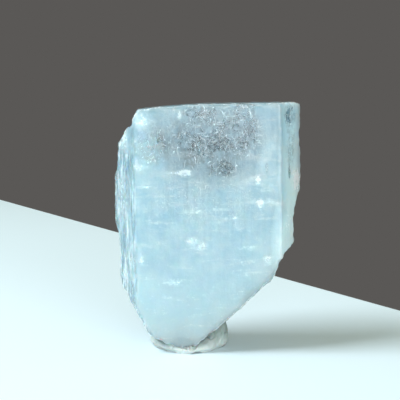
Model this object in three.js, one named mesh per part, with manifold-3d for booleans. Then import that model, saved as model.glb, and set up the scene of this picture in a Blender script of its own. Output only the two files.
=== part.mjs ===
// A single aquamarine crystal, the pale blue variety of beryl, standing upright in a dab of white
// mounting putty. Millimetres, +Z up, +Y away from the front face. The origin is the middle of the
// putty's flat underside, where the specimen stands on a shelf.
//
// The crystal is one six-sided prism, flattened front to back. Its top is the crystal's own flat end
// face (the basal pinacoid). Its lower end is broken: curved and flat fractures taper it to a blunt
// tip, and the putty is pressed round that tip.
import * as THREE from "three";
import { mergeVertices } from "three/addons/utils/BufferGeometryUtils.js";
import Module from "manifold-3d";

const wasm = await Module();
wasm.setup();

// ---- Driving dimensions -------------------------------------------------------------------------

// Each prism face is given by its distance from the crystal's long axis, and the direction it faces,
// in degrees anticlockwise from +X as seen from above. Six faces at 60 degrees make the hexagon.
const PRISM_FACES = [
  { facing: 270, distance: 4.7 }, // the broad front face
  { facing: 330, distance: 9.96 },
  { facing: 30, distance: 9.96 },
  { facing: 90, distance: 5.1 }, // the broad back face
  { facing: 150, distance: 9.96 },
  { facing: 210, distance: 9.96 },
];
const TOP = 30.32; // height of the end face above the shelf
const PRISM_BOTTOM = -2; // the prism is drawn this far down before its lower end is broken off
const AXIS_X = 2.6; // the crystal's axis passes this far to the right of the putty's middle
const LEAN_LEFT = THREE.MathUtils.degToRad(0.9); // the top leans a little to the left,
const LEAN_BACK = THREE.MathUtils.degToRad(1.2); // and a little away from the front

const PUTTY_GAP = 0.3; // clearance between the crystal and the putty round it
const BIG = 60; // larger than the crystal, for the blocks that cut it

// Flat fractures, chips and worn edges. Each is one or more planes, each plane through a point with
// a normal: what lies beyond all of them, on the sides that their normals point to, is gone.
const FLAT_BREAKS = {
  "end face, left half": [{ through: [-0.4, 0, 30.32], normal: [-0.052, 0.0, 1.0] }],
  "end face, left end": [{ through: [-5.6, 0, 30.04], normal: [-0.105, 0.0, 1.0] }],
  "top left step": [
    { through: [-8.4, 0, 29.0], normal: [-1.0, 0.1, 0.1] },
    { through: [-8.5, 0, 27.6], normal: [-0.2, 0.08, 0.98] },
  ],
  "top left edge": [{ through: [-8.28, 0, 29.6], normal: [-0.85, 0.0, 0.53] }],
  "top left shoulder": [{ through: [-10.5, 0, 27.6], normal: [-0.8, 0.06, 0.6] }],
  "left side, by the shoulder": [
    { through: [-10.75, 0, 26.3], normal: [-1.0, 0.0, 0.05] },
    { through: [0, 0, 25.0], normal: [0.0, 0.0, 1.0] },
  ],
  "left side, above the waist": [
    { through: [-10.95, 0, 23.3], normal: [-0.99, 0.0, 0.12] },
    { through: [-11.0, 0, 25.3], normal: [-0.2, 0.0, -1.0] },
    { through: [-11.2, 0, 22.2], normal: [-0.8, 0.0, 1.0] },
  ],
  "left side, below the waist": [
    { through: [-10.9, 0, 11.0], normal: [-1.0, 0.0, -0.03] },
    { through: [-11.2, 0, 14.6], normal: [0.1, 0.0, -1.0] },
  ],
  "lower left, upper facet": [
    { through: [-9.9, -0.5, 7.1], normal: [-0.79, 0.05, -0.61] },
    { through: [-9.3, -0.5, 6.0], normal: [-0.3, 0.0, 1.0] },
  ],
  "lower left, front facet": [{ through: [-9.5, -1.0, 5.55], normal: [-0.87, -0.16, -0.47] }],
  "lower left, back facet": [{ through: [-9.5, -1.0, 5.55], normal: [-0.79, 0.42, -0.45] }],
  "lower left, foot": [{ through: [-5.4, -4.2, 1.32], normal: [-0.43, 0.05, -0.9] }],
  "top right corner, outer": [{ through: [11.4, 0, 29.7], normal: [0.92, 0.0, 0.38] }],
  "top right corner, inner": [{ through: [11.0, 0, 30.1], normal: [0.5, 0.0, 0.87] }],
  "right side, below the flake": [
    { through: [10.55, 0, 13.0], normal: [1.0, 0.0, 0.03] },
    { through: [0, 0, 14.4], normal: [0.0, 0.0, -1.0] },
  ],
  "right slope, upper": [{ through: [6.0, -4.7, 7.55], normal: [0.675, 0.12, -0.74] }],
  "right slope, lower": [{ through: [1.0, -4.5, 3.1], normal: [0.62, 0.12, -0.78] }],
  "lower front": [{ through: [0, -4.7, 8.0], normal: [0.02, -0.996, -0.06] }],
  "lower back, upper facet": [{ through: [0, 5.1, 13.5], normal: [0.12, 0.92, -0.38] }],
  "lower back, lower facet": [{ through: [0, 2.2, 6.2], normal: [-0.06, 0.66, -0.75] }],
  "blunt tip": [{ through: [-2.6, -4.2, 0.42], normal: [-0.12, 0.05, -0.99] }],
};

// Shell-shaped fractures: each is an ellipsoid cut out of the crystal.
const SCOOPS = {
  "right flake": { centre: [12.15, -0.5, 15.4], radii: [1.85, 6.0, 4.5] },
  "right notch": { centre: [12.7, -1.5, 9.55], radii: [5.0, 8.5, 3.9] },
  "right nick": { centre: [12.6, -1.6, 21.3], radii: [1.4, 2.6, 1.1] },
  "left waist": { centre: [-14.7, 0.8, 14.4], radii: [3.8, 4.2, 3.2] },
  "back flake": { centre: [4.5, 12.2, 12.0], radii: [7.5, 8.6, 8.0] },
  "back upper flake": { centre: [-9.5, 9.2, 23.5], radii: [5.0, 5.0, 6.5] },
};
const SCOOP_SEGMENTS = 40;

// The putty's rim, anticlockwise from +X as seen from above: how far out it is and how high.
const PUTTY_RIM = [
  { angle: 0, radius: 4.9, height: 3.9 },
  { angle: 30, radius: 4.85, height: 3.9 },
  { angle: 60, radius: 4.7, height: 3.5 },
  { angle: 90, radius: 4.8, height: 3.1 },
  { angle: 120, radius: 5.0, height: 2.7 },
  { angle: 150, radius: 5.0, height: 2.1 },
  { angle: 180, radius: 4.9, height: 1.5 },
  { angle: 210, radius: 4.7, height: 1.2 },
  { angle: 240, radius: 4.65, height: 0.9 },
  { angle: 270, radius: 4.75, height: 0.75 },
  { angle: 300, radius: 4.55, height: 1.2 },
  { angle: 330, radius: 4.55, height: 2.7 },
];
// The dab's wall from its underside to its top, as shares of the rim's radius and height there.
const PUTTY_WALL = [
  [0, 0],
  [0.93, 0],
  [0.985, 0.1],
  [1.0, 0.35],
  [0.99, 0.62],
  [0.95, 0.85],
  [0.86, 0.98],
  [0.7, 1.0],
  [0, 1.0],
];
const PUTTY_SEGMENTS = 48;
const PUTTY_MIDDLE_HEIGHT = 2.0; // how high the dab's middle would be without the crystal
const PUTTY_RIM_FROM = 0.7; // the share of the rim's radius from which the top is as high as the rim

// ---- Shapes to solids and back -------------------------------------------------------------------

function solidFrom(geometry) {
  const bare = geometry.clone();
  bare.deleteAttribute("normal");
  bare.deleteAttribute("uv");
  const merged = mergeVertices(bare, 1e-4);
  return new wasm.Manifold(
    new wasm.Mesh({
      numProp: 3,
      vertProperties: new Float32Array(merged.attributes.position.array),
      triVerts: new Uint32Array(merged.index.array),
    }),
  );
}

function geometryFrom(solid) {
  const mesh = solid.getMesh();
  const geometry = new THREE.BufferGeometry();
  geometry.setAttribute("position", new THREE.BufferAttribute(mesh.vertProperties, 3));
  geometry.setIndex(new THREE.BufferAttribute(mesh.triVerts, 1));
  geometry.computeVertexNormals();
  return geometry;
}

// ---- The crystal -----------------------------------------------------------------------------------

// The hexagon's corners: each is where two neighbouring prism faces meet.
function prismOutline(grow) {
  return PRISM_FACES.map((face, i) => {
    const next = PRISM_FACES[(i + 1) % PRISM_FACES.length];
    const [a, b] = [face.facing, next.facing].map(THREE.MathUtils.degToRad);
    const [da, db] = [face.distance + grow, next.distance + grow];
    const spread = Math.sin(b - a);
    return new THREE.Vector2(
      (da * Math.sin(b) - db * Math.sin(a)) / spread,
      (db * Math.cos(a) - da * Math.cos(b)) / spread,
    );
  });
}

// A block whose one face lies on the plane and which fills the side that the normal points to.
function blockBeyond({ through, normal }, grow) {
  const outward = new THREE.Vector3(...normal).normalize();
  const middle = new THREE.Vector3(...through).addScaledVector(outward, BIG / 2 + grow);
  const turn = new THREE.Quaternion().setFromUnitVectors(new THREE.Vector3(0, 0, 1), outward);
  const block = new THREE.BoxGeometry(2 * BIG, 2 * BIG, BIG);
  block.applyQuaternion(turn);
  block.translate(middle.x, middle.y, middle.z);
  return solidFrom(block);
}

// What a flat break takes away: the space beyond all of its planes.
function breakTool(planes, grow) {
  return planes.map((plane) => blockBeyond(plane, grow)).reduce((a, b) => a.intersect(b));
}

function scoopTool({ centre, radii }, grow) {
  const tool = new THREE.SphereGeometry(1, SCOOP_SEGMENTS, SCOOP_SEGMENTS / 2);
  tool.scale(...radii.map((r) => r - grow));
  tool.translate(...centre);
  return solidFrom(tool);
}

// The crystal upright on its own axis. grow moves every surface outwards by that much.
function crystalSolid(grow = 0) {
  const prism = new THREE.ExtrudeGeometry(new THREE.Shape(prismOutline(grow)), {
    depth: TOP + grow - PRISM_BOTTOM,
    bevelEnabled: false,
  });
  prism.translate(0, 0, PRISM_BOTTOM);
  let solid = solidFrom(prism);
  for (const planes of Object.values(FLAT_BREAKS)) solid = solid.subtract(breakTool(planes, grow));
  for (const scoop of Object.values(SCOOPS)) solid = solid.subtract(scoopTool(scoop, grow));
  return solid;
}

// From the crystal's own axis to the specimen's frame: it leans about a point at shelf height.
const crystalPlace = new THREE.Matrix4()
  .makeTranslation(AXIS_X, 0, 0)
  .multiply(new THREE.Matrix4().makeRotationY(-LEAN_LEFT))
  .multiply(new THREE.Matrix4().makeRotationX(-LEAN_BACK));

function placed(solid) {
  return solidFrom(geometryFrom(solid).applyMatrix4(crystalPlace));
}

// ---- The putty ---------------------------------------------------------------------------------------

// The rim's radius and height at any angle, on a smooth closed curve through PUTTY_RIM.
const rimCurve = new THREE.CatmullRomCurve3(
  PUTTY_RIM.map(({ radius, height }) => new THREE.Vector3(radius, height, 0)),
  true,
);

function puttySolid() {
  const dab = new THREE.LatheGeometry(
    PUTTY_WALL.map(([r, h]) => new THREE.Vector2(r, h)),
    PUTTY_SEGMENTS,
  );
  dab.rotateX(Math.PI / 2); // the lathe turns about Y, and the dab stands on Z
  const position = dab.attributes.position;
  for (let i = 0; i < position.count; i++) {
    const [x, y, z] = [position.getX(i), position.getY(i), position.getZ(i)];
    const turn = (Math.atan2(y, x) / (2 * Math.PI) + 1) % 1;
    const rim = rimCurve.getPoint(turn);
    // Towards the middle the top evens out from the rim's height to the middle's.
    const reach = Math.min(1, Math.hypot(x, y) / PUTTY_RIM_FROM);
    const top = THREE.MathUtils.lerp(PUTTY_MIDDLE_HEIGHT, rim.y, reach);
    position.setXYZ(i, x * rim.x, y * rim.x, z * top);
  }
  return solidFrom(dab).subtract(placed(crystalSolid(PUTTY_GAP)));
}

// ---- The specimen --------------------------------------------------------------------------------------

const beryl = new THREE.MeshStandardMaterial({ color: 0xaed6e2, roughness: 0.15, metalness: 0 });
const putty = new THREE.MeshStandardMaterial({ color: 0xdfe4e2, roughness: 0.8, metalness: 0 });

function named(name, solid, material) {
  const mesh = new THREE.Mesh(geometryFrom(solid), material);
  mesh.name = name;
  return mesh;
}

const specimen = new THREE.Group();
specimen.add(named("aquamarine_crystal", placed(crystalSolid()), beryl));
specimen.add(named("mounting_putty", puttySolid(), putty));

export default specimen;
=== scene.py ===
import math

import bmesh
import bpy
import numpy as np
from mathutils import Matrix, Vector, noise
from mathutils.bvhtree import BVHTree


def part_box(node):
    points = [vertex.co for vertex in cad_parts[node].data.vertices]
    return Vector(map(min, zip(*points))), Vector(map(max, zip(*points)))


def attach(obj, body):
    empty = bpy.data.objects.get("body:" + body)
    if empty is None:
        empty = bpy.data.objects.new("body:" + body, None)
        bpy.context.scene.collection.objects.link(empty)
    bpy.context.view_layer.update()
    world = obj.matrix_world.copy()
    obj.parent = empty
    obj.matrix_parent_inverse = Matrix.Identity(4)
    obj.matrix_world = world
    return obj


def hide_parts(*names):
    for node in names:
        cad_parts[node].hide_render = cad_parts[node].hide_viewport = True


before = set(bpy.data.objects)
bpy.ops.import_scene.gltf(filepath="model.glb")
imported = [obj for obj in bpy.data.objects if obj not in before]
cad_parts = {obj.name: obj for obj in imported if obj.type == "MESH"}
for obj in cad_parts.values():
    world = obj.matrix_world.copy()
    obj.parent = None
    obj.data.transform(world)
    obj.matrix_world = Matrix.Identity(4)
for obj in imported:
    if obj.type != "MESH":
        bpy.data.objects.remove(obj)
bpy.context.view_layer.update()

# ==== The crystal ==================================================================================
# One six-sided prism of aquamarine, the pale blue variety of beryl, flattened front to back. Its prism
# faces carry fine growth lines along its length, and its end face is flat. It broke off its matrix at
# the lower end. Most of it is milky, and it clears into windows near the top.

MM = 0.001  # the scene is in metres, and sizes here are in millimetres times MM
VOXEL = 0.165 * MM  # the relief's mesh size: fine enough for the growth lines
LEAN = Vector((math.radians(1.2), math.radians(0.9), 0))  # undoes the crystal's lean, for patterns
WINDOWS = [  # clear places by the front and right faces: centre, radii in mm, and how clear
    ((2.6, -4.6, 26.4), (5.8, 3.5, 4.0), 0.85),
    ((1.6, -4.6, 29.2), (2.8, 3.5, 0.9), 1.1),
    ((6.5, -4.6, 27.6), (2.0, 3.5, 3.2), 1.0),
    ((0.9, -4.6, 26.5), (3.0, 3.5, 1.6), 1.15),
    ((3.3, -4.6, 26.0), (1.6, 3.5, 1.5), 1.7),
    ((0.2, -4.6, 24.0), (1.8, 3.5, 1.7), 0.65),
    ((3.9, -4.6, 22.9), (2.2, 3.0, 1.2), 0.95),
    ((-4.4, -4.6, 25.4), (2.8, 3.0, 2.4), 0.75),
    ((-4.6, -4.6, 25.2), (0.7, 3.0, 0.5), 1.2),
    ((9.3, -4.6, 22.8), (0.12, 2.0, 0.6), 1.2),
    ((12.3, -2.0, 29.0), (0.9, 2.4, 1.4), 1.0),
    ((12.2, -2.0, 22.2), (0.14, 2.0, 0.9), 1.2),
    ((12.4, -2.0, 25.5), (0.9, 2.4, 3.0), 0.55),
    ((3.0, -4.6, 19.0), (8.0, 3.5, 4.0), 0.35),
]
BRUISES = [  # places that knocks and etching have turned white: centre, radii in mm, how white
    ((-5.4, -4.6, 28.2), (1.0, 1.6, 1.1), 0.75),
    ((-8.2, -1.5, 26.2), (1.2, 2.5, 1.6), 0.8),
    ((-8.3, -2.0, 19.0), (1.3, 2.6, 3.4), 0.6),
    ((13.3, -0.5, 21.0), (0.9, 2.2, 1.6), 1.0),
    ((11.8, -0.8, 16.0), (0.8, 2.4, 2.6), 1.0),
    ((-8.0, -3.0, 7.0), (1.3, 2.0, 2.6), 0.4),
]
ETCH_AND_PAINTED_LIGHT = [  # places with a fine matt etch, paler and less clear: centre, radii in mm, how strong
    # The first two, on the right face, are also painted light: they make that shaded face paler, as light
    # coming through the crystal would.
    ((12.5, -2.0, 22.0), (1.5, 3.4, 14.0), 1.0),
    ((12.0, -2.6, 13.5), (1.6, 3.0, 5.0), 1.2),
    ((-9.2, -1.5, 26.4), (1.8, 3.0, 1.8), 0.4),
    ((-6.6, -3.0, 28.8), (1.8, 3.0, 1.2), 0.4),
]
FEATHERS = [  # cracks that come up to the front face: centre, radii, and how white, from 0 to 1
    ((-0.4, -4.6, 22.2), (1.1, 2.0, 0.55), 0.95),
    ((-1.9, -4.6, 22.2), (0.9, 2.0, 0.16), 0.7),
    ((-5.9, -4.4, 22.8), (1.2, 2.0, 0.4), 0.9),
    ((-5.0, -4.6, 20.5), (0.9, 2.0, 0.16), 0.7),
    ((0.4, -4.6, 13.8), (0.8, 2.0, 0.6), 1.0),
    ((1.5, -4.6, 13.4), (0.8, 2.0, 0.45), 0.95),
    ((8.6, -4.6, 18.5), (0.5, 2.0, 0.7), 1.0),
    ((8.3, -4.6, 21.3), (0.4, 2.0, 0.6), 0.75),
    ((5.6, -4.6, 16.8), (0.5, 2.0, 0.25), 1.0),
    ((4.5, -4.6, 16.8), (0.4, 2.0, 0.2), 0.7),
    ((0.5, -4.6, 17.6), (1.4, 2.0, 0.3), 0.6),
    ((3.4, -4.6, 17.8), (2.2, 2.0, 0.2), 0.5),
    ((-1.9, -4.6, 8.8), (1.1, 2.0, 0.5), 0.6),
    ((7.3, -4.6, 13.1), (1.3, 2.0, 0.35), 0.55),
    ((9.6, -4.4, 11.7), (0.7, 2.0, 0.6), 0.8),
    ((-1.1, -4.6, 29.2), (0.25, 2.0, 0.7), 0.8),
    ((-5.7, -4.6, 11.8), (0.35, 2.0, 0.9), 0.7),
    ((8.9, -4.6, 19.8), (1.8, 2.0, 2.4), 0.3),
    ((12.4, -2.0, 27.9), (0.9, 2.4, 0.14), 0.9),
    ((12.4, -2.0, 25.6), (0.9, 2.4, 0.12), 0.8),
]


def linear(hex_colour):
    """An sRGB hex colour as the linear RGBA that sockets take."""
    channels = [int(hex_colour[i : i + 2], 16) / 255 for i in (1, 3, 5)]
    return [c / 12.92 if c <= 0.04045 else ((c + 0.055) / 1.055) ** 2.4 for c in channels] + [1.0]


def add(tree, kind, inputs=(), **settings):
    """A new node with its settings. Each input is given a value, or an output socket to link."""
    node = tree.nodes.new(kind)
    for name, value in settings.items():
        setattr(node, name, value)
    for name, value in dict(inputs).items():
        if isinstance(value, bpy.types.NodeSocket):
            tree.links.new(value, node.inputs[name])
        else:
            node.inputs[name].default_value = value
    return node


def new_material(name):
    """A new material, and its node tree with nothing in it."""
    material = bpy.data.materials.new(name)
    material.use_nodes = True
    material.node_tree.nodes.clear()
    return material, material.node_tree


def new_group(name, sizes):
    """A new Geometry Nodes group that takes a shape and these sizes, and gives a shape."""
    group = bpy.data.node_groups.new(name, "GeometryNodeTree")
    group.interface.new_socket("Geometry", in_out="INPUT", socket_type="NodeSocketGeometry")
    for size, kind, value in sizes:
        group.interface.new_socket(size, in_out="INPUT", socket_type=kind).default_value = value
    group.interface.new_socket("Geometry", in_out="OUTPUT", socket_type="NodeSocketGeometry")
    return group, add(group, "NodeGroupInput").outputs


def merged_copy(node, name):
    """A CAD node's mesh as a new object of its own, with the loose triangles' corners merged."""
    mesh = node.data.copy()
    mesh.materials.clear()
    shape = bmesh.new()
    shape.from_mesh(mesh)
    bmesh.ops.remove_doubles(shape, verts=shape.verts, dist=0.001 * MM)
    shape.to_mesh(mesh)
    shape.free()
    piece = bpy.data.objects.new(name, mesh)
    bpy.context.scene.collection.objects.link(piece)
    return piece


def apply_modifiers(piece):
    """The piece's evaluated shape as its plain mesh, with its modifiers gone."""
    graph = bpy.context.evaluated_depsgraph_get()
    mesh = bpy.data.meshes.new_from_object(piece.evaluated_get(graph), depsgraph=graph)
    piece.modifiers.clear()
    piece.data = mesh


# ---- Beryl: a transparent silicate with a faint blue from iron. Its natural faces have a satin gloss
# and fine growth lines. Worn edges and bruises turn white, because tiny cracks there scatter light.
beryl, tree = new_material("beryl_aquamarine_natural")
place = add(tree, "ShaderNodeTexCoord").outputs["Object"]
upright = add(
    tree, "ShaderNodeVectorRotate", {"Vector": place, "Rotation": LEAN}, rotation_type="EULER_XYZ"
).outputs["Vector"]
in_mm = add(
    tree, "ShaderNodeVectorMath", {0: upright, "Scale": 1 / MM}, operation="SCALE"
).outputs["Vector"]
clear, bruised, edge, crest, striated, feathered, etch_and_light = (
    add(tree, "ShaderNodeAttribute", attribute_name=name).outputs["Fac"]
    for name in ("clear", "bruised", "edge", "crest", "striated", "feathered", "etch_and_light")
)

# Growth lines run the crystal's length: about 0.4 mm apart and ten times as long.
STREAKS_PER_MM = (2.6, 2.6, 0.24)
streak_space = add(
    tree, "ShaderNodeVectorMath", {0: in_mm, 1: STREAKS_PER_MM}, operation="MULTIPLY"
).outputs["Vector"]
streaks = add(
    tree, "ShaderNodeTexNoise", {"Vector": streak_space, "Scale": 1.0, "Detail": 4.0, "Roughness": 0.62}
).outputs["Fac"]
# Clouded and clean places 2 to 3 mm across.
MOTTLE_PER_MM = 0.4
mottle = add(
    tree, "ShaderNodeTexNoise",
    {"Vector": in_mm, "Scale": MOTTLE_PER_MM, "Detail": 5.0, "Roughness": 0.62},
).outputs["Fac"]
# Thin veils lie across the crystal, 1 mm thick and 5 mm long, and look like faint level bands.
BANDS_PER_MM = (0.2, 0.2, 1.0)
band_space = add(
    tree, "ShaderNodeVectorMath", {0: in_mm, 1: BANDS_PER_MM}, operation="MULTIPLY"
).outputs["Vector"]
bands = add(
    tree, "ShaderNodeTexNoise",
    {"Vector": band_space, "Scale": 1.0, "Detail": 5.0, "Roughness": 0.66, "Distortion": 0.3},
).outputs["Fac"]
# Specks and pits, 0.3 to 0.5 mm across.
PITS_PER_MM = 1.9
pits = add(
    tree, "ShaderNodeTexNoise",
    {"Vector": in_mm, "Scale": PITS_PER_MM, "Detail": 6.0, "Roughness": 0.72},
).outputs["Fac"]

# A window's outline is ragged: it follows the clouded places, frays along the growth lines and is
# broken up by specks. Between the growth steps of the left side it is clearer too.
outline = add(tree, "ShaderNodeMix", {0: 0.4, 2: mottle, 3: streaks}, data_type="FLOAT").outputs[0]
speckled = add(tree, "ShaderNodeMix", {0: 0.45, 2: outline, 3: pits}, data_type="FLOAT").outputs[0]
ragged = add(
    tree, "ShaderNodeMapRange",
    {"Value": speckled, "From Min": 0.42, "From Max": 0.57, "To Min": 0.4, "To Max": 1.6},
).outputs[0]
clear_ragged = add(tree, "ShaderNodeMath", {0: clear, 1: ragged}, operation="MULTIPLY").outputs[0]
clean_glass = add(
    tree, "ShaderNodeMapRange", {"Value": clear_ragged, "From Min": 0.2, "From Max": 1.2}
).outputs[0]
between_steps = add(
    tree, "ShaderNodeMapRange", {"Value": streaks, "From Min": 0.52, "From Max": 0.44, "To Max": 0.75}
).outputs[0]
clear_lines = add(tree, "ShaderNodeMath", {0: between_steps, 1: striated}, operation="MULTIPLY").outputs[0]
window = add(tree, "ShaderNodeMath", {0: clean_glass, 1: clear_lines}, operation="MAXIMUM").outputs[0]
# A lace of fibres and scratches lies over the clear places: fine ones 0.4 mm apart, long upright ones
# 0.6 mm apart, and loose ones that lie across them. Kinds: how many to the millimetre along X, Y and Z,
# distortion, detail, the ridge's height where a fibre starts and where it is full, and how white it is.
fibres = []
for per_mm, distortion, detail, low, high, share in (
    ((2.4, 2.4, 1.2), 0.5, 4.0, 1.6, 2.1, 0.45),
    ((1.7, 1.7, 0.6), 0.6, 1.0, 1.31, 1.46, 0.65),
    ((0.8, 0.8, 1.3), 1.5, 1.0, 1.31, 1.46, 0.65),
):
    fibre_space = add(
        tree, "ShaderNodeVectorMath", {0: in_mm, 1: per_mm}, operation="MULTIPLY"
    ).outputs["Vector"]
    ridges = add(
        tree, "ShaderNodeTexNoise",
        {
            "Vector": fibre_space, "Scale": 1.0, "Detail": detail, "Roughness": 0.55,
            "Distortion": distortion, "Offset": 1.0, "Gain": 2.0,
        },
        noise_type="RIDGED_MULTIFRACTAL",
    ).outputs["Fac"]
    fibres.append(
        add(
            tree, "ShaderNodeMapRange",
            {"Value": ridges, "From Min": low, "From Max": high, "To Max": share},
        ).outputs[0]
    )
long_fibres = add(tree, "ShaderNodeMath", {0: fibres[1], 1: fibres[2]}, operation="MAXIMUM").outputs[0]
all_fibres = add(tree, "ShaderNodeMath", {0: fibres[0], 1: long_fibres}, operation="MAXIMUM").outputs[0]
lace_place = add(
    tree, "ShaderNodeMapRange", {"Value": clear_ragged, "From Min": 0.1, "From Max": 0.7}
).outputs[0]
lace = add(tree, "ShaderNodeMath", {0: all_fibres, 1: lace_place}, operation="MULTIPLY").outputs[0]

# White is where it is bruised or worn, more so where there are pits.
bruise_sum = add(
    tree, "ShaderNodeMath", {0: pits, 1: 2.5, 2: bruised}, operation="MULTIPLY_ADD"
).outputs[0]
bruise = add(
    tree, "ShaderNodeMapRange",
    {"Value": bruise_sum, "From Min": 1.4, "From Max": 2.6, "To Max": 0.9},
    interpolation_type="SMOOTHSTEP",
).outputs[0]
edge_sum = add(
    tree, "ShaderNodeMath", {0: pits, 1: 2.0, 2: edge}, operation="MULTIPLY_ADD"
).outputs[0]
wear = add(
    tree, "ShaderNodeMapRange",
    {"Value": edge_sum, "From Min": 1.45, "From Max": 2.4, "To Max": 0.8},
    interpolation_type="SMOOTHSTEP",
).outputs[0]
# The side that has long growth steps carries white and clear lines by turns.
step_lines = add(
    tree, "ShaderNodeMapRange",
    {"Value": streaks, "From Min": 0.51, "From Max": 0.62, "To Max": 0.7},
    interpolation_type="SMOOTHSTEP",
).outputs[0]
steps = add(tree, "ShaderNodeMath", {0: step_lines, 1: striated}, operation="MULTIPLY").outputs[0]
# A feather is a crack full of tiny bubbles: white in the middle, and frayed along the level bands.
fray = add(tree, "ShaderNodeMix", {0: 0.5, 2: pits, 3: bands}, data_type="FLOAT").outputs[0]
feather_sum = add(
    tree, "ShaderNodeMath", {0: fray, 1: 4.0, 2: feathered}, operation="MULTIPLY_ADD"
).outputs[0]
feathers = add(
    tree, "ShaderNodeMapRange",
    {"Value": feather_sum, "From Min": 2.15, "From Max": 3.3, "To Max": 0.9},
    interpolation_type="SMOOTHSTEP",
).outputs[0]
knocked = add(tree, "ShaderNodeMath", {0: bruise, 1: wear}, operation="MAXIMUM").outputs[0]
lined = add(tree, "ShaderNodeMath", {0: knocked, 1: steps}, operation="MAXIMUM").outputs[0]
frost = add(tree, "ShaderNodeMath", {0: lined, 1: feathers}, operation="MAXIMUM").outputs[0]
frost_or_lace = add(tree, "ShaderNodeMath", {0: frost, 1: lace}, operation="MAXIMUM").outputs[0]

# The milk under the skin shows through it in soft patches of two blues. The palest blue is painted light
# from the floor below.
MILKY_BLUE, MILKY_PALE, BOUNCE_LIT_PALE = "#add0dd", "#d0e8ee", "#dcf2f9"
ETCH_AND_LIGHT_WHITE, CREST_BLUE, BAND_WHITE, CRACK_WHITE = "#def7ff", "#74a4b6", "#e9f6f9", "#f3fafc"
patch_share = add(
    tree, "ShaderNodeMapRange", {"Value": mottle, "From Min": 0.38, "From Max": 0.62}
).outputs[0]
patchy_colour = add(
    tree, "ShaderNodeMix", {0: patch_share, 6: linear(MILKY_BLUE), 7: linear(MILKY_PALE)}, data_type="RGBA"
).outputs[2]
band_share = add(
    tree, "ShaderNodeMapRange",
    {"Value": bands, "From Min": 0.5, "From Max": 0.74, "To Max": 0.6},
    interpolation_type="SMOOTHSTEP",
).outputs[0]
# Painted light: it is palest low down, as if the pale floor threw light up into it. This fades in from 17
# to 6 mm up.
rise = add(tree, "ShaderNodeSeparateXYZ", {0: in_mm}).outputs["Z"]
painted_bounce_light = add(
    tree, "ShaderNodeMapRange", {"Value": rise, "From Min": 17.0, "From Max": 6.0, "To Max": 0.8}
).outputs[0]
bounce_lit_colour = add(
    tree, "ShaderNodeMix", {0: painted_bounce_light, 6: patchy_colour, 7: linear(BOUNCE_LIT_PALE)}, data_type="RGBA"
).outputs[2]
# An etched face is paler, outside the windows. On the right face this paleness is also painted light,
# standing in for the light that comes through the crystal onto that shaded face.
not_window = add(tree, "ShaderNodeMath", {0: 1.0, 1: window}, operation="SUBTRACT").outputs[0]
etch_and_light_there = add(tree, "ShaderNodeMath", {0: etch_and_light, 1: not_window}, operation="MULTIPLY").outputs[0]
etch_and_light_share = add(tree, "ShaderNodeMath", {0: etch_and_light_there, 1: 0.95}, operation="MULTIPLY").outputs[0]
etch_and_light_colour = add(
    tree, "ShaderNodeMix", {0: etch_and_light_share, 6: bounce_lit_colour, 7: linear(ETCH_AND_LIGHT_WHITE)}, data_type="RGBA"
).outputs[2]
# The upright edges between prism faces are whole, and a little darker than the faces.
crest_share = add(tree, "ShaderNodeMath", {0: crest, 1: 0.5}, operation="MULTIPLY").outputs[0]
crest_colour = add(
    tree, "ShaderNodeMix", {0: crest_share, 6: etch_and_light_colour, 7: linear(CREST_BLUE)}, data_type="RGBA"
).outputs[2]
banded_colour = add(
    tree, "ShaderNodeMix", {0: band_share, 6: crest_colour, 7: linear(BAND_WHITE)}, data_type="RGBA"
).outputs[2]
body_colour = add(
    tree, "ShaderNodeMix", {0: frost_or_lace, 6: banded_colour, 7: linear(CRACK_WHITE)}, data_type="RGBA"
).outputs[2]
# The skin lets most light through, a window nearly all of it, and cracks, fibres and etching less.
skin_clear = add(
    tree, "ShaderNodeMapRange", {"Value": window, "To Min": 0.6, "To Max": 0.94}
).outputs[0]
scattered = add(
    tree, "ShaderNodeMapRange", {"Value": frost_or_lace, "To Min": 1.0, "To Max": 0.4}
).outputs[0]
clear_past_etch_and_light = add(
    tree, "ShaderNodeMapRange", {"Value": etch_and_light_there, "To Min": 1.0, "To Max": 0.3}
).outputs[0]
not_frosted = add(tree, "ShaderNodeMath", {0: scattered, 1: clear_past_etch_and_light}, operation="MULTIPLY").outputs[0]
see_through = add(
    tree, "ShaderNodeMath", {0: skin_clear, 1: not_frosted}, operation="MULTIPLY"
).outputs[0]

# The faces have a satin gloss and a window is glassy. What is white is dull, and so is a crest.
satin = add(tree, "ShaderNodeMapRange", {"Value": window, "To Min": 0.14, "To Max": 0.04}).outputs[0]
glossy = add(tree, "ShaderNodeMix", {0: frost_or_lace, 2: satin, 3: 0.4}, data_type="FLOAT").outputs[0]
dulled_crest = add(tree, "ShaderNodeMath", {0: crest, 1: 0.6}, operation="MULTIPLY").outputs[0]
gloss = add(tree, "ShaderNodeMath", {0: glossy, 1: dulled_crest}, operation="MAXIMUM").outputs[0]
pit_depth = add(tree, "ShaderNodeMapRange", {"Value": window, "To Min": 0.35, "To Max": 0.1}).outputs[0]
lines_bump = add(
    tree, "ShaderNodeBump", {"Height": streaks, "Strength": 0.25, "Distance": 0.05 * MM}
).outputs["Normal"]
pits_bump = add(
    tree, "ShaderNodeBump",
    {"Height": pits, "Strength": pit_depth, "Distance": 0.12 * MM, "Normal": lines_bump},
).outputs["Normal"]

surface = add(
    tree, "ShaderNodeBsdfPrincipled",
    {
        "Base Color": body_colour,
        "Roughness": gloss,
        "IOR": 1.577,  # beryl's own
        "Transmission Weight": see_through,
        "Subsurface Weight": 1.0,
        "Subsurface Radius": (0.9, 1.15, 1.25),
        "Subsurface Scale": 2.8 * MM,
        "Normal": pits_bump,
    },
)
tint = add(
    tree, "ShaderNodeVolumeAbsorption", {"Color": linear("#62c4e2"), "Density": 56.0}
)
add(
    tree, "ShaderNodeOutputMaterial",
    {"Surface": surface.outputs["BSDF"], "Volume": tint.outputs["Volume"]},
)

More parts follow.
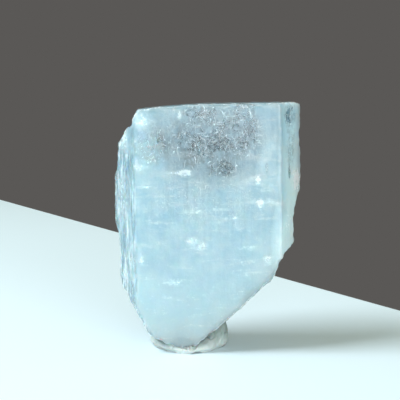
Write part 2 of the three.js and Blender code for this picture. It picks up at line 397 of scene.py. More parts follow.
# ---- Relief: growth lines on the prism faces, shell-shaped scallops and grain on the breaks, and chips
# along the edges. It also marks the worn edges, the upright crests and the side with growth steps.
relief, given = new_group("crystal_relief", (
    ("Growth line depth", "NodeSocketFloat", 0.05 * MM),
    ("Growth line width", "NodeSocketFloat", 0.8 * MM),
    ("Break relief", "NodeSocketFloat", 0.28 * MM),
    ("Break scallop", "NodeSocketFloat", 1.6 * MM),
    ("Break grain", "NodeSocketFloat", 0.5 * MM),
    ("Edge chip depth", "NodeSocketFloat", 0.16 * MM),
    ("Edge chip width", "NodeSocketFloat", 0.9 * MM),
))
place = add(relief, "GeometryNodeInputPosition").outputs[0]
outward = add(relief, "GeometryNodeInputNormal").outputs[0]
upright = add(
    relief, "ShaderNodeVectorRotate", {"Vector": place, "Rotation": LEAN}, rotation_type="EULER_XYZ"
).outputs[0]
facing = add(
    relief, "ShaderNodeVectorRotate", {"Vector": outward, "Rotation": LEAN}, rotation_type="EULER_XYZ"
).outputs[0]
facing_xyz = add(relief, "ShaderNodeSeparateXYZ", {0: facing}).outputs
# A prism face stands upright and faces one of six ways, 60 degrees apart, from 30 degrees on: there
# the cosine of six times its turn is -1.
turn = add(
    relief, "ShaderNodeMath", {0: facing_xyz["Y"], 1: facing_xyz["X"]}, operation="ARCTAN2"
).outputs[0]
six_turns = add(relief, "ShaderNodeMath", {0: turn, 1: 6.0}, operation="MULTIPLY").outputs[0]
six_ways = add(relief, "ShaderNodeMath", {0: six_turns}, operation="COSINE").outputs[0]
one_of_six = add(
    relief, "ShaderNodeMapRange",
    {"Value": six_ways, "From Min": -0.86, "From Max": -0.97},
    interpolation_type="SMOOTHSTEP",
).outputs[0]
tilt = add(relief, "ShaderNodeMath", {0: facing_xyz["Z"]}, operation="ABSOLUTE").outputs[0]
stands = add(
    relief, "ShaderNodeMapRange",
    {"Value": tilt, "From Min": 0.14, "From Max": 0.04},
    interpolation_type="SMOOTHSTEP",
).outputs[0]
prism = add(relief, "ShaderNodeMath", {0: one_of_six, 1: stands}, operation="MULTIPLY").outputs[0]
end = add(
    relief, "ShaderNodeMapRange",
    {"Value": facing_xyz["Z"], "From Min": 0.93, "From Max": 0.985},
    interpolation_type="SMOOTHSTEP",
).outputs[0]
grown = add(relief, "ShaderNodeMath", {0: prism, 1: end}, operation="MAXIMUM").outputs[0]
sharp_broken = add(relief, "ShaderNodeMath", {0: 1.0, 1: grown}, operation="SUBTRACT").outputs[0]
broken = add(
    relief, "GeometryNodeBlurAttribute", {"Value": sharp_broken, "Iterations": 3}, data_type="FLOAT"
).outputs[0]
# Near an edge the neighbouring normals point different ways, so that their average is short.
average_normal = add(
    relief, "GeometryNodeBlurAttribute", {"Value": outward, "Iterations": 2}, data_type="FLOAT_VECTOR"
).outputs[0]
agreement = add(relief, "ShaderNodeVectorMath", {0: average_normal}, operation="LENGTH").outputs["Value"]
sharp = add(
    relief, "ShaderNodeMapRange",
    {"Value": agreement, "From Min": 0.985, "From Max": 0.88},
    interpolation_type="SMOOTHSTEP",
).outputs[0]
# Knocks have not worn the upright edges between two prism faces.
leans = add(
    relief, "ShaderNodeMapRange", {"Value": tilt, "From Min": 0.1, "From Max": 0.4}
).outputs[0]
exposed = add(relief, "ShaderNodeMath", {0: leans, 1: broken}, operation="MAXIMUM").outputs[0]
edge = add(relief, "ShaderNodeMath", {0: sharp, 1: exposed}, operation="MULTIPLY").outputs[0]
crest = add(relief, "ShaderNodeMath", {0: sharp, 1: edge}, operation="SUBTRACT").outputs[0]
# The shader paints what is marked here.
marked_crest = add(
    relief, "GeometryNodeStoreNamedAttribute",
    {"Geometry": given["Geometry"], "Name": "crest", "Value": crest},
    data_type="FLOAT", domain="POINT",
).outputs[0]
marked_edge = add(
    relief, "GeometryNodeStoreNamedAttribute",
    {"Geometry": marked_crest, "Name": "edge", "Value": edge},
    data_type="FLOAT", domain="POINT",
).outputs[0]
# The left side of the crystal grew in long steps, and its lines are the deepest. They end under the
# bulge near its top.
left_facing = add(
    relief, "ShaderNodeMapRange",
    {"Value": facing_xyz["X"], "From Min": -0.3, "From Max": -0.6},
    interpolation_type="SMOOTHSTEP",
).outputs[0]
below_knob = add(
    relief, "ShaderNodeMapRange",
    {"Value": add(relief, "ShaderNodeSeparateXYZ", {0: place}).outputs["Z"],
     "From Min": 25.2 * MM, "From Max": 24.0 * MM},
).outputs[0]
left_below = add(relief, "ShaderNodeMath", {0: left_facing, 1: below_knob}, operation="MULTIPLY").outputs[0]
striated = add(
    relief, "GeometryNodeBlurAttribute", {"Value": left_below, "Iterations": 3}, data_type="FLOAT"
).outputs[0]
marked = add(
    relief, "GeometryNodeStoreNamedAttribute",
    {"Geometry": marked_edge, "Name": "striated", "Value": striated},
    data_type="FLOAT", domain="POINT",
).outputs[0]

line_scale = add(
    relief, "ShaderNodeMath", {0: 1.0, 1: given["Growth line width"]}, operation="DIVIDE"
).outputs[0]
stretched = add(
    relief, "ShaderNodeVectorMath", {0: upright, 1: (1.0, 1.0, 0.05)}, operation="MULTIPLY"
).outputs[0]
lines = add(
    relief, "ShaderNodeTexNoise",
    {"Vector": stretched, "Scale": line_scale, "Detail": 3.0, "Roughness": 0.6},
).outputs["Fac"]
lines_even = add(relief, "ShaderNodeMath", {0: lines, 1: 0.5}, operation="SUBTRACT").outputs[0]
lines_deep = add(
    relief, "ShaderNodeMath", {0: lines_even, 1: given["Growth line depth"]}, operation="MULTIPLY"
).outputs[0]
step_gain = add(
    relief, "ShaderNodeMapRange", {"Value": striated, "To Min": 2.0, "To Max": 12.0}
).outputs[0]
lines_out = add(relief, "ShaderNodeMath", {0: lines_deep, 1: step_gain}, operation="MULTIPLY").outputs[0]

scallop_scale = add(
    relief, "ShaderNodeMath", {0: 1.0, 1: given["Break scallop"]}, operation="DIVIDE"
).outputs[0]
scallops = add(
    relief, "ShaderNodeTexVoronoi",
    {"Vector": upright, "Scale": scallop_scale, "Detail": 1.0, "Roughness": 0.5, "Smoothness": 0.25},
    feature="SMOOTH_F1",
).outputs["Distance"]
grain_scale = add(
    relief, "ShaderNodeMath", {0: 1.0, 1: given["Break grain"]}, operation="DIVIDE"
).outputs[0]
grain = add(
    relief, "ShaderNodeTexNoise",
    {"Vector": upright, "Scale": grain_scale, "Detail": 2.0, "Roughness": 0.5},
).outputs["Fac"]
GRAIN_SHARE, BREAK_MIDDLE = 0.35, 0.7  # the grain's part of a break's relief, and its middle height
grain_share = add(relief, "ShaderNodeMath", {0: grain, 1: GRAIN_SHARE}, operation="MULTIPLY").outputs[0]
break_shape = add(relief, "ShaderNodeMath", {0: scallops, 1: grain_share}, operation="ADD").outputs[0]
break_even = add(
    relief, "ShaderNodeMath", {0: break_shape, 1: BREAK_MIDDLE}, operation="SUBTRACT"
).outputs[0]
break_deep = add(
    relief, "ShaderNodeMath", {0: break_even, 1: given["Break relief"]}, operation="MULTIPLY"
).outputs[0]
height = add(
    relief, "ShaderNodeMix", {0: broken, 2: lines_out, 3: break_deep}, data_type="FLOAT"
).outputs[0]
# Small chips are missing along every edge.
chip_scale = add(
    relief, "ShaderNodeMath", {0: 1.0, 1: given["Edge chip width"]}, operation="DIVIDE"
).outputs[0]
chip_places = add(
    relief, "ShaderNodeTexNoise",
    {"Vector": upright, "Scale": chip_scale, "Detail": 2.0, "Roughness": 0.5},
).outputs["Fac"]
chipped = add(
    relief, "ShaderNodeMapRange",
    {"Value": chip_places, "From Min": 0.45, "From Max": 0.62},
    interpolation_type="SMOOTHSTEP",
).outputs[0]
chips = add(relief, "ShaderNodeMath", {0: chipped, 1: sharp}, operation="MULTIPLY").outputs[0]
chips_deep = add(
    relief, "ShaderNodeMath", {0: chips, 1: given["Edge chip depth"]}, operation="MULTIPLY"
).outputs[0]
height_chipped = add(relief, "ShaderNodeMath", {0: height, 1: chips_deep}, operation="SUBTRACT").outputs[0]
push = add(
    relief, "ShaderNodeVectorMath", {0: outward, "Scale": height_chipped}, operation="SCALE"
).outputs[0]
shaped = add(relief, "GeometryNodeSetPosition", {"Geometry": marked, "Offset": push}).outputs[0]
smooth = add(relief, "GeometryNodeSetShadeSmooth", {"Geometry": shaped}).outputs[0]
realized = add(relief, "GeometryNodeRealizeInstances", {0: smooth}).outputs[0]
finished = add(
    relief, "GeometryNodeSetMaterial", {"Geometry": realized, "Material": beryl}
).outputs[0]
add(relief, "NodeGroupOutput", {"Geometry": finished})

crystal = merged_copy(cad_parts["aquamarine_crystal"], "aquamarine")
remesh = crystal.modifiers.new("even_mesh", "REMESH")
remesh.mode = "VOXEL"
remesh.voxel_size = VOXEL
crystal.modifiers.new("relief", "NODES").node_group = relief
apply_modifiers(crystal)

# Each place is full to half its radius and fades out at one and a half times its radius.
points = np.empty(len(crystal.data.vertices) * 3)
crystal.data.vertices.foreach_get("co", points)
points = points.reshape(-1, 3) / MM
for name, places in (
    ("clear", WINDOWS), ("bruised", BRUISES), ("etch_and_light", ETCH_AND_PAINTED_LIGHT), ("feathered", FEATHERS),
):
    amount = np.zeros(len(points))
    for centre, radii, strength in places:
        far = np.linalg.norm((points - centre) / radii, axis=1)
        amount = np.maximum(amount, np.clip(1.5 - far, 0, 1) * strength)
    mark = crystal.data.attributes.new(name, "FLOAT", "POINT")
    mark.data.foreach_set("value", amount)

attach(crystal, "root")
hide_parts("aquamarine_crystal")

# ==== The milk inside ==============================================================================
# A cloud of microscopic fluid inclusions fills most of the crystal and stops short of its skin. It
# ends raggedly below the clear top, and reaches higher at the crystal's two flanks.

def coordinates_in_mm(tree):
    """Object coordinates in millimetres, so that a pattern's scale is a count to the millimetre."""
    place = add(tree, "ShaderNodeTexCoord").outputs["Object"]
    return add(
        tree, "ShaderNodeVectorMath", {0: place, "Scale": 1 / MM}, operation="SCALE"
    ).outputs["Vector"]


# ---- The cloud scatters light as skimmed milk does, so it is soft and white with a blue cast, and is
# patchy every 2 mm.
milk, tree = new_material("inclusion_cloud_milky")
in_mm = coordinates_in_mm(tree)
patches = add(
    tree, "ShaderNodeTexNoise", {"Vector": in_mm, "Scale": 0.5, "Detail": 5.0, "Roughness": 0.6}
).outputs["Fac"]
milk_colour = add(
    tree, "ShaderNodeMix", {0: patches, 6: linear("#dcf0f6"), 7: linear("#fdfeff")}, data_type="RGBA"
).outputs[2]
surface = add(
    tree, "ShaderNodeBsdfPrincipled",
    {
        "Base Color": milk_colour,
        "Roughness": 0.8,
        "IOR": 1.2,
        "Subsurface Weight": 1.0,
        "Subsurface Radius": (0.8, 1.3, 1.6),
        "Subsurface Scale": 3.0 * MM,
    },
)
add(tree, "ShaderNodeOutputMaterial", {"Surface": surface.outputs["BSDF"]})

# ---- How deep a point lies inside a closed shape: positive inside it and negative outside.
depth_inside = bpy.data.node_groups.new("depth_inside", "GeometryNodeTree")
depth_inside.interface.new_socket("Shape", in_out="INPUT", socket_type="NodeSocketGeometry")
depth_inside.interface.new_socket("Depth", in_out="OUTPUT", socket_type="NodeSocketFloat")
depth_inside.interface.new_socket("Nearest", in_out="OUTPUT", socket_type="NodeSocketVector")
depth_inside.interface.new_socket("Wall normal", in_out="OUTPUT", socket_type="NodeSocketVector")
given = add(depth_inside, "NodeGroupInput").outputs
place = add(depth_inside, "GeometryNodeInputPosition").outputs[0]
outward = add(depth_inside, "GeometryNodeInputNormal").outputs[0]
nearest = add(
    depth_inside, "GeometryNodeProximity", {0: given["Shape"]}, target_element="FACES"
).outputs
wall_normal = add(
    depth_inside, "GeometryNodeSampleNearestSurface",
    {"Mesh": given["Shape"], "Value": outward, "Sample Position": place},
    data_type="FLOAT_VECTOR",
).outputs["Value"]
inward = add(
    depth_inside, "ShaderNodeVectorMath", {0: nearest["Position"], 1: place}, operation="SUBTRACT"
).outputs[0]
side = add(
    depth_inside, "ShaderNodeVectorMath", {0: inward, 1: wall_normal}, operation="DOT_PRODUCT"
).outputs["Value"]
sign = add(depth_inside, "ShaderNodeMath", {0: side}, operation="SIGN").outputs[0]
depth = add(
    depth_inside, "ShaderNodeMath", {0: nearest["Distance"], 1: sign}, operation="MULTIPLY"
).outputs[0]
add(
    depth_inside, "NodeGroupOutput",
    {"Depth": depth, "Nearest": nearest["Position"], "Wall normal": wall_normal},
)

# ---- The cloud is all that lies deeper than the clear skin and below the ragged top, turned into a
# mesh by way of a block of small cells.
CELL = 0.3 * MM
LUMP = 3.2 * MM  # how far apart the ragged lumps are
LEFT_FLANK_STARTS, LEFT_FLANK_FULL = -1.5 * MM, -5.0 * MM  # along X
RIGHT_FLANK_STARTS, RIGHT_FLANK_FULL = 7.5 * MM, 9.5 * MM
cloud, given = new_group("inclusion_cloud", (
    ("Clear skin", "NodeSocketFloat", 0.45 * MM),
    ("Top", "NodeSocketFloat", 21.0 * MM),
    ("Left flank", "NodeSocketFloat", 7.0 * MM),
    ("Right flank", "NodeSocketFloat", 5.0 * MM),
    ("Raggedness", "NodeSocketFloat", 5.0 * MM),
))
place = add(cloud, "GeometryNodeInputPosition").outputs[0]
place_xyz = add(cloud, "ShaderNodeSeparateXYZ", {0: place}).outputs
depth = add(
    cloud, "GeometryNodeGroup", {"Shape": given["Geometry"]}, node_tree=depth_inside
).outputs["Depth"]
lumps = add(
    cloud, "ShaderNodeTexNoise", {"Vector": place, "Scale": 1 / LUMP, "Detail": 4.0, "Roughness": 0.55}
).outputs["Fac"]
lumps_even = add(cloud, "ShaderNodeMath", {0: lumps, 1: 0.5}, operation="SUBTRACT").outputs[0]
ragged = add(
    cloud, "ShaderNodeMath", {0: lumps_even, 1: given["Raggedness"]}, operation="MULTIPLY"
).outputs[0]
# The skin's thickness is less ragged than the top.
skin_ragged = add(cloud, "ShaderNodeMath", {0: ragged, 1: 0.3}, operation="MULTIPLY").outputs[0]
past_skin = add(
    cloud, "ShaderNodeMath", {0: depth, 1: given["Clear skin"]}, operation="SUBTRACT"
).outputs[0]
skin_limit = add(cloud, "ShaderNodeMath", {0: past_skin, 1: skin_ragged}, operation="ADD").outputs[0]
left_flank = add(
    cloud, "ShaderNodeMapRange",
    {
        "Value": place_xyz["X"], "From Min": LEFT_FLANK_STARTS, "From Max": LEFT_FLANK_FULL,
        "To Min": 0.0, "To Max": given["Left flank"],
    },
    interpolation_type="SMOOTHSTEP",
).outputs[0]
right_flank = add(
    cloud, "ShaderNodeMapRange",
    {
        "Value": place_xyz["X"], "From Min": RIGHT_FLANK_STARTS, "From Max": RIGHT_FLANK_FULL,
        "To Min": 0.0, "To Max": given["Right flank"],
    },
    interpolation_type="SMOOTHSTEP",
).outputs[0]
flanks = add(cloud, "ShaderNodeMath", {0: left_flank, 1: right_flank}, operation="ADD").outputs[0]
top = add(cloud, "ShaderNodeMath", {0: given["Top"], 1: flanks}, operation="ADD").outputs[0]
below_top = add(cloud, "ShaderNodeMath", {0: top, 1: place_xyz["Z"]}, operation="SUBTRACT").outputs[0]
top_limit = add(cloud, "ShaderNodeMath", {0: below_top, 1: ragged}, operation="ADD").outputs[0]
cloudy = add(cloud, "ShaderNodeMath", {0: skin_limit, 1: top_limit}, operation="MINIMUM").outputs[0]
cloudy_mm = add(cloud, "ShaderNodeMath", {0: cloudy, 1: 1 / MM}, operation="MULTIPLY").outputs[0]
density = add(cloud, "ShaderNodeMath", {0: cloudy_mm, 1: 1.0}, operation="ADD").outputs[0]
crystal_low, crystal_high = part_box("aquamarine_crystal")
cells = [round(span / CELL) for span in crystal_high - crystal_low]
block = add(
    cloud, "GeometryNodeVolumeCube",
    {
        "Density": density, "Background": 0.0, "Min": crystal_low, "Max": crystal_high,
        "Resolution X": cells[0], "Resolution Y": cells[1], "Resolution Z": cells[2],
    },
).outputs[0]
skin = add(
    cloud, "GeometryNodeVolumeToMesh", {"Volume": block, "Threshold": 1.0, "Adaptivity": 0.0}
).outputs[0]
smooth = add(cloud, "GeometryNodeSetShadeSmooth", {"Geometry": skin}).outputs[0]
realized = add(cloud, "GeometryNodeRealizeInstances", {0: smooth}).outputs[0]
finished = add(cloud, "GeometryNodeSetMaterial", {"Geometry": realized, "Material": milk}).outputs[0]
add(cloud, "NodeGroupOutput", {"Geometry": finished})

milk_cloud = bpy.data.objects.new("inclusion_cloud", crystal.data.copy())
bpy.context.scene.collection.objects.link(milk_cloud)
milk_cloud.modifiers.new("cloud", "NODES").node_group = cloud
apply_modifiers(milk_cloud)
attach(milk_cloud, "root")

# ==== Veils, tubes and threads =====================================================================
# Healed fractures show as veils of tiny bubbles lying across the crystal, and hollow growth tubes and
# threads run along it. They are white because the gas and water in them turn light back.

# ---- Bubble veil: white where the bubbles are close or lie in strings, and fading out at each flake's
# rim. The thickest ones, tubes and threads, are white all over.
veil, tree = new_material("bubble_veil_white")
in_mm = coordinates_in_mm(tree)
bubbles = add(
    tree, "ShaderNodeTexNoise", {"Vector": in_mm, "Scale": 2.4, "Detail": 3.0, "Roughness": 0.65}
).outputs["Fac"]
rim = add(tree, "ShaderNodeAttribute", attribute_name="rim").outputs["Fac"]
thick = add(tree, "ShaderNodeAttribute", attribute_name="thick").outputs["Fac"]
inner = add(
    tree, "ShaderNodeMapRange",
    {"Value": rim, "From Min": 1.0, "From Max": 0.3},
    interpolation_type="SMOOTHSTEP",
).outputs[0]
patchy = add(
    tree, "ShaderNodeMapRange",
    {"Value": bubbles, "From Min": 0.4, "From Max": 0.65, "To Max": 0.7},
    interpolation_type="SMOOTHSTEP",
).outputs[0]
strings = add(
    tree, "ShaderNodeTexNoise",
    {
        "Vector": in_mm, "Scale": 1.3, "Detail": 4.0, "Roughness": 0.7, "Distortion": 0.6,
        "Offset": 1.0, "Gain": 2.0,
    },
    noise_type="RIDGED_MULTIFRACTAL",
).outputs["Fac"]
stringy = add(
    tree, "ShaderNodeMapRange",
    {"Value": strings, "From Min": 1.75, "From Max": 2.05},
    interpolation_type="SMOOTHSTEP",
).outputs[0]
solid = add(
    tree, "ShaderNodeMapRange", {"Value": thick, "From Min": 0.5, "From Max": 0.6}
).outputs[0]
textured = add(tree, "ShaderNodeMath", {0: patchy, 1: stringy}, operation="MAXIMUM").outputs[0]
filled = add(tree, "ShaderNodeMath", {0: textured, 1: solid}, operation="MAXIMUM").outputs[0]
shown = add(tree, "ShaderNodeMath", {0: inner, 1: filled}, operation="MULTIPLY").outputs[0]
alpha = add(tree, "ShaderNodeMath", {0: shown, 1: thick}, operation="MULTIPLY").outputs[0]
surface = add(
    tree, "ShaderNodeBsdfPrincipled",
    {
        "Base Color": linear("#d6f0fb"),
        "Roughness": 0.5,
        "IOR": 1.2,  # about beryl's against that of the water in the bubbles
        "Alpha": alpha,
    },
)
add(tree, "ShaderNodeOutputMaterial", {"Surface": surface.outputs["BSDF"]})

# ---- Each inclusion is one small closed shape, a stretched ball, scattered through the crystal by at
# least a given depth under its skin.
BLOCK_CELLS = 12  # along each side of the block that the points are scattered in
RIPPLE, RIPPLE_HEIGHT = 1.1 * MM, 0.9 * MM
KEPT_UNDER = 0.12 * MM
inclusions, given = new_group("scattered_inclusions", (
    ("Seed", "NodeSocketInt", 0),
    ("Density", "NodeSocketFloat", 1e9),
    ("Low", "NodeSocketVector", (0, 0, 0)),
    ("High", "NodeSocketVector", (1, 1, 1)),
    ("Radii", "NodeSocketVector", (1, 1, 1)),
    ("Tilt", "NodeSocketVector", (0, 0, 0)),
    ("Thick", "NodeSocketFloat", 0.5),
    ("Bury", "NodeSocketFloat", 0.35 * MM),
    ("Fineness", "NodeSocketInt", 2),
))
block = add(
    inclusions, "GeometryNodeVolumeCube",
    {
        "Density": 1.0, "Min": given["Low"], "Max": given["High"],
        "Resolution X": BLOCK_CELLS, "Resolution Y": BLOCK_CELLS, "Resolution Z": BLOCK_CELLS,
    },
).outputs[0]
scattered = add(
    inclusions, "GeometryNodeDistributePointsInVolume",
    {"Volume": block, "Density": given["Density"], "Seed": given["Seed"]},
).outputs[0]
depth = add(
    inclusions, "GeometryNodeGroup", {"Shape": given["Geometry"]}, node_tree=depth_inside
).outputs
shallow = add(
    inclusions, "FunctionNodeCompare", {0: depth["Depth"], 1: given["Bury"]},
    data_type="FLOAT", operation="LESS_THAN",
).outputs[0]
buried = add(
    inclusions, "GeometryNodeDeleteGeometry", {"Geometry": scattered, "Selection": shallow}
).outputs[0]
flake = add(
    inclusions, "GeometryNodeMeshIcoSphere", {"Radius": 1.0, "Subdivisions": given["Fineness"]}
).outputs["Mesh"]
flake_place = add(inclusions, "GeometryNodeInputPosition").outputs[0]
flake_flat = add(
    inclusions, "ShaderNodeVectorMath", {0: flake_place, 1: (1.0, 1.0, 0.0)}, operation="MULTIPLY"
).outputs[0]
from_middle = add(
    inclusions, "ShaderNodeVectorMath", {0: flake_flat}, operation="LENGTH"
).outputs["Value"]
flake_marked = add(
    inclusions, "GeometryNodeStoreNamedAttribute",
    {"Geometry": flake, "Name": "rim", "Value": from_middle},
    data_type="FLOAT", domain="POINT",
).outputs[0]
tilt_back = add(
    inclusions, "ShaderNodeVectorMath", {0: given["Tilt"], "Scale": -1.0}, operation="SCALE"
).outputs[0]
tilt = add(
    inclusions, "FunctionNodeRandomValue",
    {0: tilt_back, 1: given["Tilt"], "Seed": given["Seed"]},
    data_type="FLOAT_VECTOR",
).outputs[0]
size = add(
    inclusions, "FunctionNodeRandomValue", {2: 0.35, 3: 1.0, "Seed": given["Seed"]}, data_type="FLOAT"
).outputs[1]
radii = add(
    inclusions, "ShaderNodeVectorMath", {0: given["Radii"], "Scale": size}, operation="SCALE"
).outputs[0]
placed = add(
    inclusions, "GeometryNodeInstanceOnPoints",
    {"Points": buried, "Instance": flake_marked, "Rotation": tilt, "Scale": radii},
).outputs[0]
share = add(
    inclusions, "FunctionNodeRandomValue", {2: 0.3, 3: 1.0, "Seed": 7}, data_type="FLOAT"
).outputs[1]
thickness = add(
    inclusions, "ShaderNodeMath", {0: share, 1: given["Thick"]}, operation="MULTIPLY"
).outputs[0]
placed_marked = add(
    inclusions, "GeometryNodeStoreNamedAttribute",
    {"Geometry": placed, "Name": "thick", "Value": thickness},
    data_type="FLOAT", domain="INSTANCE",
).outputs[0]
realized = add(inclusions, "GeometryNodeRealizeInstances", {0: placed_marked}).outputs[0]
# Each is bent a little, as a real crack is.
ripple = add(
    inclusions, "ShaderNodeTexNoise",
    {
        "Vector": add(inclusions, "GeometryNodeInputPosition").outputs[0],
        "Scale": 1 / RIPPLE, "Detail": 2.0,
    },
).outputs["Color"]
ripple_even = add(
    inclusions, "ShaderNodeVectorMath", {0: ripple, 1: (0.5, 0.5, 0.5)}, operation="SUBTRACT"
).outputs[0]
ripple_push = add(
    inclusions, "ShaderNodeVectorMath", {0: ripple_even, "Scale": RIPPLE_HEIGHT}, operation="SCALE"
).outputs[0]
rippled = add(
    inclusions, "GeometryNodeSetPosition", {"Geometry": realized, "Offset": ripple_push}
).outputs[0]
# What sticks out through the crystal's skin is drawn back in, to just under it.
depth = add(
    inclusions, "GeometryNodeGroup", {"Shape": given["Geometry"]}, node_tree=depth_inside
).outputs
outside = add(
    inclusions, "FunctionNodeCompare", {0: depth["Depth"], 1: KEPT_UNDER},
    data_type="FLOAT", operation="LESS_THAN",
).outputs[0]
pull = add(
    inclusions, "ShaderNodeVectorMath", {0: depth["Wall normal"], "Scale": -KEPT_UNDER}, operation="SCALE"
).outputs[0]
back_in = add(
    inclusions, "ShaderNodeVectorMath", {0: depth["Nearest"], 1: pull}, operation="ADD"
).outputs[0]
kept_in = add(
    inclusions, "GeometryNodeSetPosition", {"Geometry": rippled, "Selection": outside, "Position": back_in}
).outputs[0]
smooth = add(inclusions, "GeometryNodeSetShadeSmooth", {"Geometry": kept_in}).outputs[0]
finished = add(inclusions, "GeometryNodeSetMaterial", {"Geometry": smooth, "Material": veil}).outputs[0]
add(inclusions, "NodeGroupOutput", {"Geometry": finished})

# Kinds: name, seed, how many in the block, the block's two corners in mm, radii along X, Y and Z in mm,
# how far it may tilt and turn in radians, how thick the white is, and how fine the mesh is.
for name, seed, count, low, high, radii, tilt, thick, fineness in (
    (
        "healed_cracks", 2, 90, (-10, -5, 20), (14, 6, 31),
        (3.6, 2.4, 0.03), (1.2, 0.8, 3.1), 0.35, 4,
    ),
    (
        "bubble_veils", 3, 420, (-10, -5, 0), (14, 6, 31),
        (1.5, 1.1, 0.03), (0.25, 0.25, 3.1), 0.45, 2,
    ),
    (
        "growth_tubes", 5, 500, (-4, -4.7, 20), (10, -1, 30),
        (0.06, 0.06, 1.8), (0.05, 0.05, 3.1), 0.9, 2,
    ),
    (
        "window_threads", 8, 2400, (-4, -4.7, 21), (10, -1.5, 31),
        (0.9, 0.06, 0.06), (3.1, 3.1, 3.1), 1.0, 1,
    ),
):
    low, high = Vector(low) * MM, Vector(high) * MM
    span = high - low
    piece = bpy.data.objects.new(name, crystal.data.copy())
    bpy.context.scene.collection.objects.link(piece)
    scatter = piece.modifiers.new("scatter", "NODES")
    scatter.node_group = inclusions
    values = {
        "Seed": seed,
        "Density": count / (span.x * span.y * span.z),
        "Low": low,
        "High": high,
        "Radii": Vector(radii) * MM,
        "Tilt": Vector(tilt),
        "Thick": thick,
        "Fineness": fineness,
    }
    for item in inclusions.interface.items_tree:
        if item.in_out == "INPUT" and item.name in values:
            scatter[item.identifier] = values[item.name]
    apply_modifiers(piece)
    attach(piece, "root")

# ==== The putty ====================================================================================
# A dab of white mineral tack, the soft oily putty that collectors set crystals in. A thumb pressed it
# flat under the tip and pushed it up round the sides, which left creases and a ragged rim.

# ---- Mineral tack: a soft filled putty that stays tacky, kneaded by hand. It is off-white and nearly
# matt, with smudges 1 mm across and pores 0.2 mm across.
putty_clay, tree = new_material("mineral_tack_white")
in_mm = coordinates_in_mm(tree)
smudges = add(tree, "ShaderNodeTexNoise", {"Vector": in_mm, "Scale": 0.8, "Detail": 4.0}).outputs["Fac"]
clay_colour = add(
    tree, "ShaderNodeMix", {0: smudges, 6: linear("#a9b5b1"), 7: linear("#dce2df")}, data_type="RGBA"
).outputs[2]
# Painted shade greys the lip that stands up at the right, where the crystal shades it.
clay_xyz = add(tree, "ShaderNodeSeparateXYZ", {0: in_mm}).outputs
right_side = add(
    tree, "ShaderNodeMapRange",
    {"Value": clay_xyz["X"], "From Min": -1.5, "From Max": 2.0},
    interpolation_type="SMOOTHSTEP",
).outputs[0]
high_up = add(
    tree, "ShaderNodeMapRange",
    {"Value": clay_xyz["Z"], "From Min": 0.3, "From Max": 2.2, "To Max": 0.85},
    interpolation_type="SMOOTHSTEP",
).outputs[0]
painted_shade = add(tree, "ShaderNodeMath", {0: right_side, 1: high_up}, operation="MULTIPLY").outputs[0]
shade_painted_colour = add(
    tree, "ShaderNodeMix", {0: painted_shade, 6: clay_colour, 7: linear("#87968e")}, data_type="RGBA"
).outputs[2]
pores = add(tree, "ShaderNodeTexNoise", {"Vector": in_mm, "Scale": 5.0, "Detail": 3.0}).outputs["Fac"]
pore_bump = add(
    tree, "ShaderNodeBump", {"Height": pores, "Strength": 0.5, "Distance": 0.08 * MM}
).outputs["Normal"]
surface = add(
    tree, "ShaderNodeBsdfPrincipled",
    {
        "Base Color": shade_painted_colour,
        "Roughness": 0.62,
        "IOR": 1.45,
        "Subsurface Weight": 0.25,
        "Subsurface Scale": 0.4 * MM,
        "Normal": pore_bump,
    },
)
add(tree, "ShaderNodeOutputMaterial", {"Surface": surface.outputs["BSDF"]})

PUTTY_VOXEL = 0.11 * MM
putty = merged_copy(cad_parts["mounting_putty"], "putty_dab")
putty.data.materials.append(putty_clay)
remesh = putty.modifiers.new("even_mesh", "REMESH")
remesh.mode = "VOXEL"
remesh.voxel_size = PUTTY_VOXEL
remesh.use_smooth_shade = True
apply_modifiers(putty)

# Kneading leaves soft lumps 2 mm across, and the skin wrinkles and creases where it was folded. The
# foot curls in under it. All in mm.
LUMPS, LUMP_HEIGHT = 2.0, 0.25
CREASES, CREASE_DEPTH, CREASE_WIDTH = 2.4, 0.2, 0.06
WRINKLES, WRINKLE_HEIGHT = 0.5, 0.06
CREASES_LEVEL = 1.4  # how much longer a crease is along the floor than upwards
ELSEWHERE = Vector((3, 5, 7))  # moves the creases away from where the noise has its lumps
FOOT_HEIGHT, FOOT_UNDERCUT = 0.45, 0.6
shifts = []
for vertex in putty.data.vertices:
    spot = vertex.co / MM
    lump = noise.noise(spot / LUMPS) * LUMP_HEIGHT
    level = Vector((spot.x, spot.y, spot.z * CREASES_LEVEL))
    fold = abs(noise.noise(level / CREASES + ELSEWHERE))
    crease = -max(0.0, 1 - fold / CREASE_WIDTH) * CREASE_DEPTH
    wrinkle = noise.noise(spot / WRINKLES) * WRINKLE_HEIGHT
    undercut = max(0.0, 1 - spot.z / FOOT_HEIGHT) * FOOT_UNDERCUT
    flat_normal = Vector((vertex.normal.x, vertex.normal.y, 0))
    shifts.append((vertex.normal * (lump + crease + wrinkle) - flat_normal * undercut) * MM)
for vertex, shift in zip(putty.data.vertices, shifts):
    vertex.co += shift

# It is pressed against the crystal: what lies near the crystal is drawn on to it.
near_crystal = BVHTree.FromObject(crystal, bpy.context.evaluated_depsgraph_get())
REACH, CONTACT = 0.6 * MM, 0.03 * MM
for vertex in putty.data.vertices:
    touch, normal, _, distance = near_crystal.find_nearest(vertex.co)
    if distance < REACH:
        away = (vertex.co - touch).normalized()
        if away.dot(normal) < 0:
            away = -away
        stand_off = CONTACT + (distance / REACH) ** 2 * (REACH - CONTACT)
        vertex.co = touch + away * stand_off
    vertex.co.z = max(vertex.co.z, 0.0)

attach(putty, "root")
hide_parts("mounting_putty")

# ==== The stage ====================================================================================
# A plain pale floor that ends in a straight edge behind the crystal, soft light and a camera.

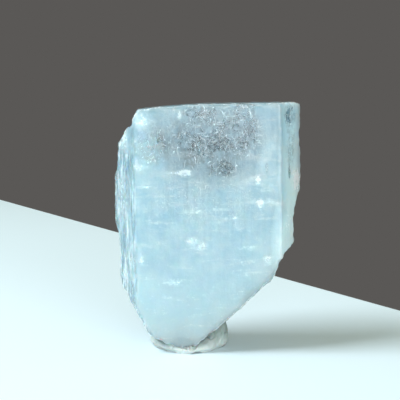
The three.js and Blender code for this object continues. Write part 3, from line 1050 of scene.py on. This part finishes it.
FLOOR_REACH, FLOOR_THICK, FLOOR_ROUNDING = 900 * MM, 12 * MM, 1.5 * MM
EDGE_POINT = Vector((30, 21)) * MM  # a point that the floor's back edge passes through
EDGE_RUN = Vector((-83, 129)).normalized()  # and the way it runs
floor_in = Vector((-EDGE_RUN.y, EDGE_RUN.x))
if floor_in.y > 0:
    floor_in = -floor_in
corners = [
    EDGE_POINT + EDGE_RUN * FLOOR_REACH,
    EDGE_POINT + EDGE_RUN * FLOOR_REACH + floor_in * FLOOR_REACH,
    EDGE_POINT - EDGE_RUN * FLOOR_REACH + floor_in * FLOOR_REACH,
    EDGE_POINT - EDGE_RUN * FLOOR_REACH,
]
slab = bmesh.new()
upper = [slab.verts.new((c.x, c.y, 0)) for c in corners]
lower = [slab.verts.new((c.x, c.y, -FLOOR_THICK)) for c in corners]
slab.faces.new(upper)
slab.faces.new(lower[::-1])
for i in range(4):
    slab.faces.new((upper[i], lower[i], lower[(i + 1) % 4], upper[(i + 1) % 4]))
bmesh.ops.recalc_face_normals(slab, faces=slab.faces)
floor_mesh = bpy.data.meshes.new("floor")
slab.to_mesh(floor_mesh)
slab.free()
floor = bpy.data.objects.new("floor", floor_mesh)
bpy.context.scene.collection.objects.link(floor)
rounding = floor.modifiers.new("rounded_edges", "BEVEL")
rounding.width = FLOOR_ROUNDING
rounding.segments = 4
floor_finish = bpy.data.materials.new("floor_pale")
floor_finish.use_nodes = True
floor_surface = floor_finish.node_tree.nodes["Principled BSDF"]
floor_surface.inputs["Base Color"].default_value = linear("#e1eff5")
floor_surface.inputs["Roughness"].default_value = 0.6
floor_mesh.materials.append(floor_finish)

# The surroundings are grey at eye level, and a soft overhead light fades in above.
OVERHEAD = (0.38, 0.40, 0.30, 1.0)
world = bpy.data.worlds.new("studio")
bpy.context.scene.world = world
world.use_nodes = True
tree = world.node_tree
tree.nodes.clear()
direction = add(tree, "ShaderNodeTexCoord").outputs["Generated"]
rise = add(tree, "ShaderNodeSeparateXYZ", {0: direction}).outputs["Z"]
overhead = add(
    tree, "ShaderNodeMapRange",
    {"Value": rise, "From Min": 0.25, "From Max": 0.75},
    interpolation_type="SMOOTHSTEP",
).outputs[0]
sky = add(
    tree, "ShaderNodeMix", {0: overhead, 6: linear("#5a5856"), 7: OVERHEAD}, data_type="RGBA"
).outputs[2]
background = add(tree, "ShaderNodeBackground", {"Color": sky, "Strength": 1.0}).outputs[0]
add(tree, "ShaderNodeOutputWorld", {"Surface": background})


def soft_light(name, place, aim, size, power, colour):
    """A window of light: its place, what it is aimed at and its size in mm, its power in watts."""
    lamp = bpy.data.lights.new(name, "AREA")
    lamp.shape = "RECTANGLE"
    lamp.size, lamp.size_y = size[0] * MM, size[1] * MM
    lamp.energy = power
    lamp.color = linear(colour)[:3]
    holder = bpy.data.objects.new(name, lamp)
    holder.location = Vector(place) * MM
    holder.rotation_euler = ((Vector(aim) - Vector(place)).to_track_quat("-Z", "Y")).to_euler()
    bpy.context.scene.collection.objects.link(holder)


soft_light("key_window", (-240, -70, 320), (0, 0, 15), (180, 180), 1.75, "#eef8ff")
soft_light("front_fill", (100, -375, 110), (0, 0, 15), (300, 200), 1.25, "#f4fbff")

CAMERA_PLACE, CAMERA_AIM = Vector((1.35, -130, 35)) * MM, Vector((1.35, 0, 18.4)) * MM
camera_data = bpy.data.cameras.new("camera")
camera_data.lens = 95.1
camera_data.sensor_width = 36
camera_data.clip_start = 5 * MM
camera = bpy.data.objects.new("camera", camera_data)
camera.location = CAMERA_PLACE
camera.rotation_euler = (CAMERA_AIM - CAMERA_PLACE).to_track_quat("-Z", "Y").to_euler()
bpy.context.scene.collection.objects.link(camera)
bpy.context.scene.camera = camera

bpy.context.scene.view_settings.view_transform = "Standard"
